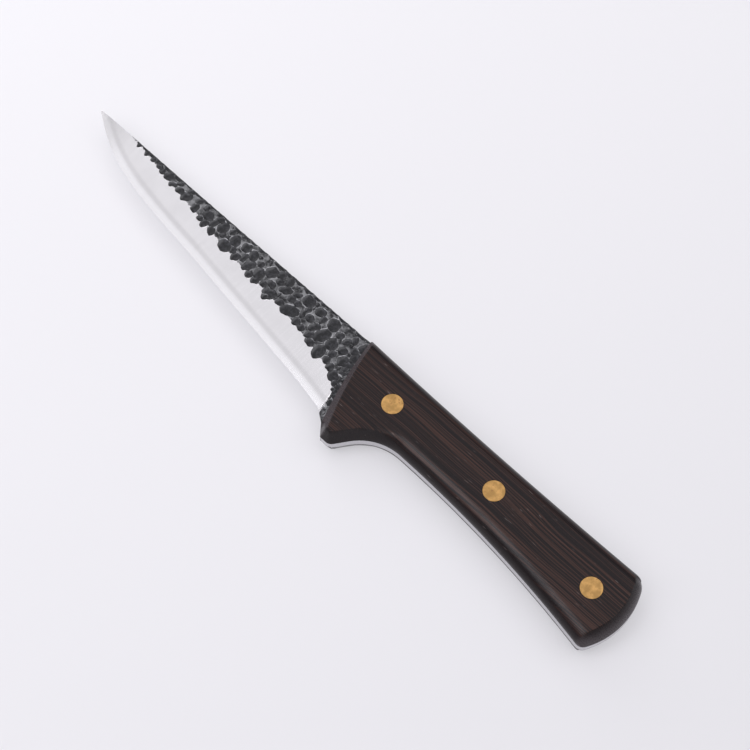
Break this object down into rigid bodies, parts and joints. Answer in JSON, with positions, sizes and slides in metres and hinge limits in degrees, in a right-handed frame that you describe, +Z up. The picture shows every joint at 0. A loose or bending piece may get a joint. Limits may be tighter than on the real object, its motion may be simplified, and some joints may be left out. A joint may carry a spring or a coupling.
{
  "type": "boning knife",
  "caption": "Full-tang boning knife with a forged, hammer-marked steel blade, a straight spine, dark wood scales with a finger guard, and flush brass rivets.",
  "frame": {"origin": "under the middle of the knife's bounding box, on the surface that the knife lies on", "axes": "+X from the tip to the butt, +Y from the cutting edge to the spine, +Z up out of the left scale, at right angles to the side of the blade"},
  "size_m": [0.2886, 0.0404, 0.015],
  "materials": {
    "steel": "satin ground bevel below dark hammered flats",
    "wood": "oiled, satin",
    "brass": "sanded flush with the wood"
  },
  "bodies": {
    "root": {"blade": "steel", "left_scale": "wood", "right_scale": "wood", "front_rivet_male": "brass", "front_rivet_female": "brass", "middle_rivet_male": "brass", "middle_rivet_female": "brass", "rear_rivet_male": "brass", "rear_rivet_female": "brass"}
  },
  "joints": []
}
